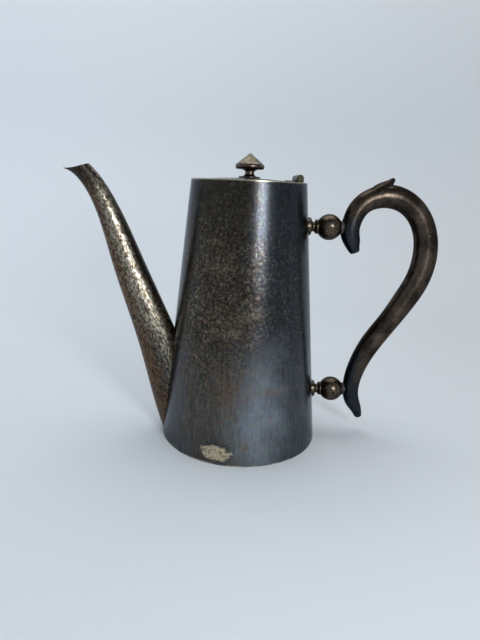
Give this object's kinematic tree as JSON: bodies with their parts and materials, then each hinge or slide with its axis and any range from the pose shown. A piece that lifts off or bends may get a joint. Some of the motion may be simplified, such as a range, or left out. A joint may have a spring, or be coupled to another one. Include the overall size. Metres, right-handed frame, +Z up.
{
  "type": "coffee pot",
  "caption": "Conical silver-plated coffee pot with a long tapering spout, hinged lid with a conical knob and a scroll handle on ball sockets.",
  "frame": {"origin": "centre of the foot, on the table", "axes": "+Z up, +X towards the handle, -X towards the spout"},
  "size_m": [0.2496, 0.109, 0.192],
  "materials": {
    "silver_plate": "tarnished silver plate on a copper alloy, speckled brown and grey",
    "cast_fittings": "smooth dark brown tarnish, polished by handling",
    "knob_metal": "worn brassy plate",
    "hinge_metal": "dull tarnished plate",
    "insulator": "dark fibre"
  },
  "bodies": {
    "pot": {"body_shell": "silver_plate", "base_disc": "silver_plate", "rim_bearer": "silver_plate", "spout": "silver_plate", "upper_socket": "cast_fittings", "lower_socket": "cast_fittings", "upper_insulator": "insulator", "lower_insulator": "insulator", "handle": "cast_fittings", "upper_handle_pin": "cast_fittings", "lower_handle_pin": "cast_fittings", "hinge_body_leaf": "hinge_metal", "hinge_pin": "hinge_metal"},
    "lid": {"hinge_lid_leaf": "hinge_metal", "lid_plate": "silver_plate", "lid_bezel": "silver_plate", "finial": "knob_metal", "finial_stud": "knob_metal", "finial_washer": "knob_metal", "finial_nut": "knob_metal"}
  },
  "joints": [
    {"name": "lid_hinge", "type": "hinge", "parent": "pot", "child": "lid", "pos_m": [0.0316, 0, 0.1777], "axis": [0, 1, 0], "range_deg": [0, 105]}
  ]
}
